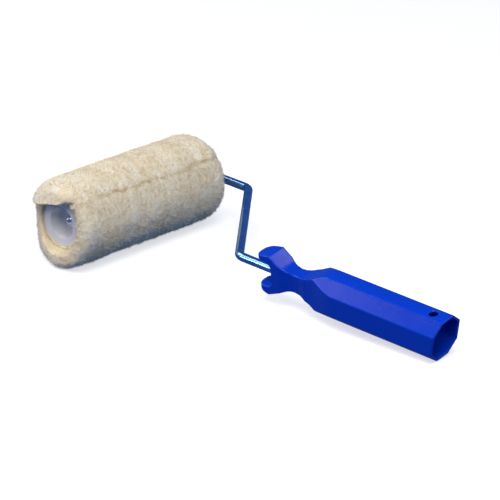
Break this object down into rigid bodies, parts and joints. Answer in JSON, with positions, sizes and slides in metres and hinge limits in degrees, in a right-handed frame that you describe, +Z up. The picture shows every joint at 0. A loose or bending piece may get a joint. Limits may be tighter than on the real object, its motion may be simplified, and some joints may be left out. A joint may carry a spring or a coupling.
{
  "type": "paint roller",
  "caption": "Lambswool paint roller: a wool sleeve with one sewn seam spins on a bent steel wire held by a hollow eight-sided plastic handle with a forked head.",
  "frame": {"origin": "centre of the bounding box on the surface the tool lies on, below the wool sleeve and the heel of the handle", "axes": "+X from the sleeve along the handle to its open end, +Y along the sleeve's axis from the free outer end towards the crank of the wire, +Z up"},
  "size_m": [0.3768, 0.173, 0.073],
  "materials": {
    "blue_plastic": "glossy moulded polypropylene",
    "plated_wire": "bright zinc plating",
    "grey_tube": "extruded plastic",
    "white_plastic": "moulded plastic",
    "hide": "suede side of sheepskin",
    "wool": "combed lambswool",
    "thread": "twisted sewing thread",
    "nylon": "natural nylon",
    "spring_steel": "bright spring steel"
  },
  "bodies": {
    "frame": {"handle": "blue_plastic", "wire_frame": "plated_wire", "outer_washer": "nylon", "inner_washer": "nylon", "retainer_ring": "spring_steel", "retainer_dome": "spring_steel"},
    "roller": {"core_tube": "grey_tube", "outer_end_cap": "white_plastic", "inner_end_cap": "white_plastic", "hide_sleeve": "hide", "wool_pile": "wool", "seam_thread": "thread"}
  },
  "joints": [
    {"name": "roller_spin", "type": "hinge", "parent": "frame", "child": "roller", "pos_m": [-0.15191, -0.0045, 0.0365], "axis": [0, 1, 0], "continuous": true}
  ]
}
